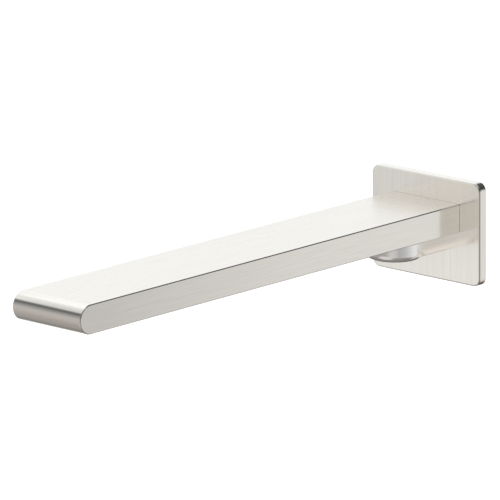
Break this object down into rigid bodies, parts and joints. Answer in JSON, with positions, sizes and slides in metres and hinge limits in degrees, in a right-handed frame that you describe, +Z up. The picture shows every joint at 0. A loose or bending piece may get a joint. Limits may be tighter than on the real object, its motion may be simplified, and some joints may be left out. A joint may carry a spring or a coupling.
{
  "type": "wall mounted bath spout",
  "caption": "Flat bar bath spout with a round nose, a small rounded wall plate, a slip-on inlet lug, an inner water way and an unscrewing aerator under the nose.",
  "frame": {"origin": "on the wall, at the centre of the wall plate's back face, on the axis of the wall nipple", "axes": "-Y points out of the wall along the spout, +Z is up, +X is to the right for someone facing the wall"},
  "size_m": [0.064, 0.264, 0.0474],
  "materials": {
    "brushed_nickel_bar": "brushed along the bar's length, satin",
    "brushed_nickel_plate": "brushed upright, satin",
    "brushed_nickel_lug": "brushed round, satin",
    "brass": "machined",
    "copper": "drawn tube, dull",
    "stainless_steel": "machined, bright",
    "black_rubber": "moulded, matt",
    "black_foam": "closed-cell foam",
    "white_plastic": "moulded, matt",
    "grey_plastic": "moulded, satin",
    "blue_plastic": "moulded, satin"
  },
  "bodies": {
    "spout": {"wall_plate": "brushed_nickel_plate", "plate_gasket": "black_foam", "plate_retaining_ring": "black_rubber", "spout_shell": "brushed_nickel_bar", "base_cover": "brushed_nickel_bar", "cover_screws": "stainless_steel", "inlet_block": "brushed_nickel_lug", "tube_seal_rear": "black_rubber", "waterway_tube": "copper", "tube_seal_front": "black_rubber", "tube_support_rear": "white_plastic", "tube_support_front": "white_plastic", "outlet_block": "brass", "wall_nipple": "brass", "nipple_o_ring_rear": "black_rubber", "nipple_o_ring_front": "black_rubber"},
    "grub_screw": {"grub_screw": "stainless_steel"},
    "aerator_core": {"aerator_gasket": "black_rubber", "strainer_screen": "white_plastic", "flow_regulator": "blue_plastic", "regulator_ring": "black_rubber", "jet_former": "white_plastic", "stream_straightener": "white_plastic", "outlet_grid": "white_plastic"},
    "aerator_housing": {"aerator_housing": "grey_plastic"}
  },
  "joints": [
    {"name": "grub_screw_travel", "type": "slide", "parent": "spout", "child": "grub_screw", "axis": [0, 0, -1], "range_m": [0, 0.0024]},
    {"name": "aerator_travel", "type": "slide", "parent": "spout", "child": "aerator_core", "axis": [0, 0, -1], "range_m": [0, 0.005]},
    {"name": "aerator_turn", "type": "hinge", "parent": "aerator_core", "child": "aerator_housing", "pos_m": [0, -0.228, 0.0026], "axis": [0, 0, 1], "range_deg": [-1800, 0]}
  ],
  "couplings": [
    {"joint": "aerator_turn", "follows": "aerator_travel", "rad_per_m": -6283.2}
  ]
}
